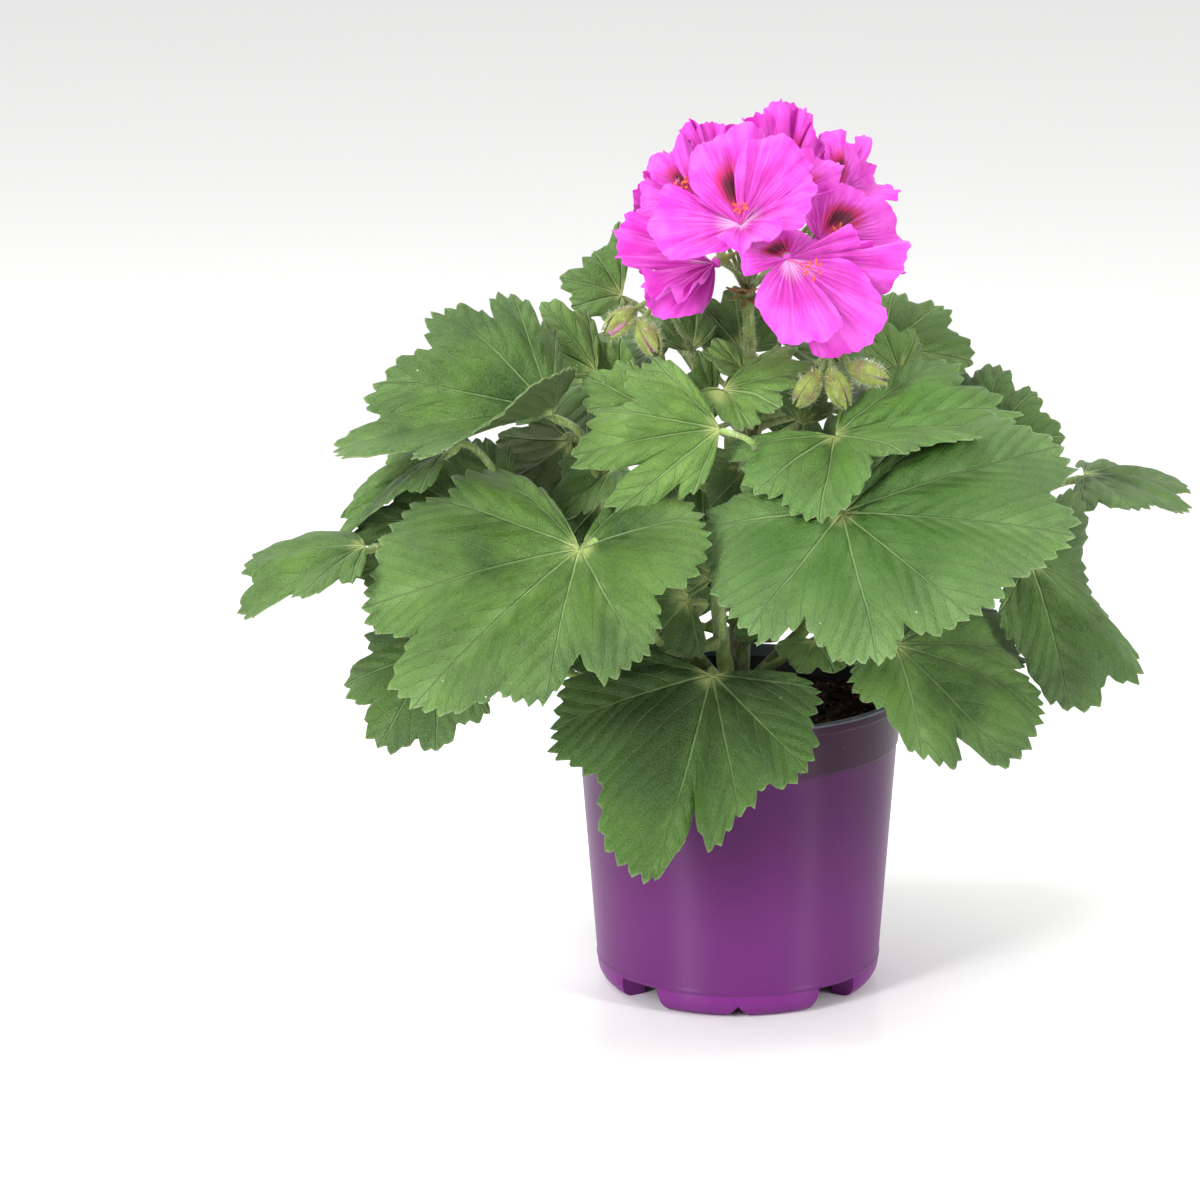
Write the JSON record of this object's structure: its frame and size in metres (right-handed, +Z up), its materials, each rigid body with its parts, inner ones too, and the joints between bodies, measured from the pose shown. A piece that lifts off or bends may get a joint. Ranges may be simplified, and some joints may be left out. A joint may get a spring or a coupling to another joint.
{
  "type": "potted regal pelargonium",
  "caption": "Regal pelargonium in a tapered nursery pot on four feet: lobed, toothed leaves on long stalks, a rounded head of broad-petalled florets, and nodding buds.",
  "frame": {"origin": "on the floor, on the pot's axis, under the middle of its base", "axes": "+Z up along the pot's axis, -Y towards the plant's front, +X to the right of that view"},
  "size_m": [0.3362, 0.2408, 0.3154],
  "materials": {
    "pot": "satin moulded polypropylene, deep purple",
    "soil": "moist peat and bark fibre, nearly black",
    "bark": "green-brown soft bark",
    "stem": "fresh green stem with fine hairs",
    "leaf": "velvety mid-green leaf with pale veins",
    "petal": "soft pink-magenta petal with darker veins",
    "stamen": "orange-red anthers on magenta filaments",
    "bud": "hairy yellow-green sepals with pink tips",
    "bract": "dry brown-orange bract"
  },
  "bodies": {
    "root": {"pot": "pot", "soil": "soil", "stem_main": "bark", "stem_front": "stem", "stem_left": "stem", "stem_right": "stem", "stem_back": "stem", "flower_stalk": "stem", "buds_left": "bud", "buds_right": "bud", "stamens_front": "stamen", "stamens_right": "stamen", "bract": "bract", "front_left": "leaf", "front_right": "leaf", "upper_right": "leaf", "centre": "leaf", "top_small": "leaf", "pot_front": "leaf", "low_right": "leaf", "droop_right": "leaf", "far_right": "leaf", "behind_right": "leaf", "back_upper_right": "leaf", "bud_leaf": "leaf", "upper_left": "leaf", "mid_left": "leaf", "far_left": "leaf", "shade_left": "leaf", "shade_centre": "leaf", "below_centre": "leaf", "low_left": "leaf", "bright_left": "leaf", "flower_left": "leaf", "light_left": "leaf", "over_soil": "leaf", "inner_low": "leaf", "back_left_low": "leaf", "back_left": "leaf", "back_left_high": "leaf", "back_middle_low": "leaf", "back_middle": "leaf", "back_middle_high": "leaf", "back_right": "leaf", "back_right_low": "leaf", "back_right_high": "leaf", "back_top": "leaf", "floret_front": "petal", "floret_right": "petal", "floret_middle": "petal", "floret_side": "petal", "floret_low": "petal", "floret_left": "petal", "floret_back_left": "petal", "floret_top": "petal", "floret_back_right": "petal", "floret_far_left": "petal", "floret_far_middle": "petal", "floret_far_right": "petal"}
  },
  "joints": []
}
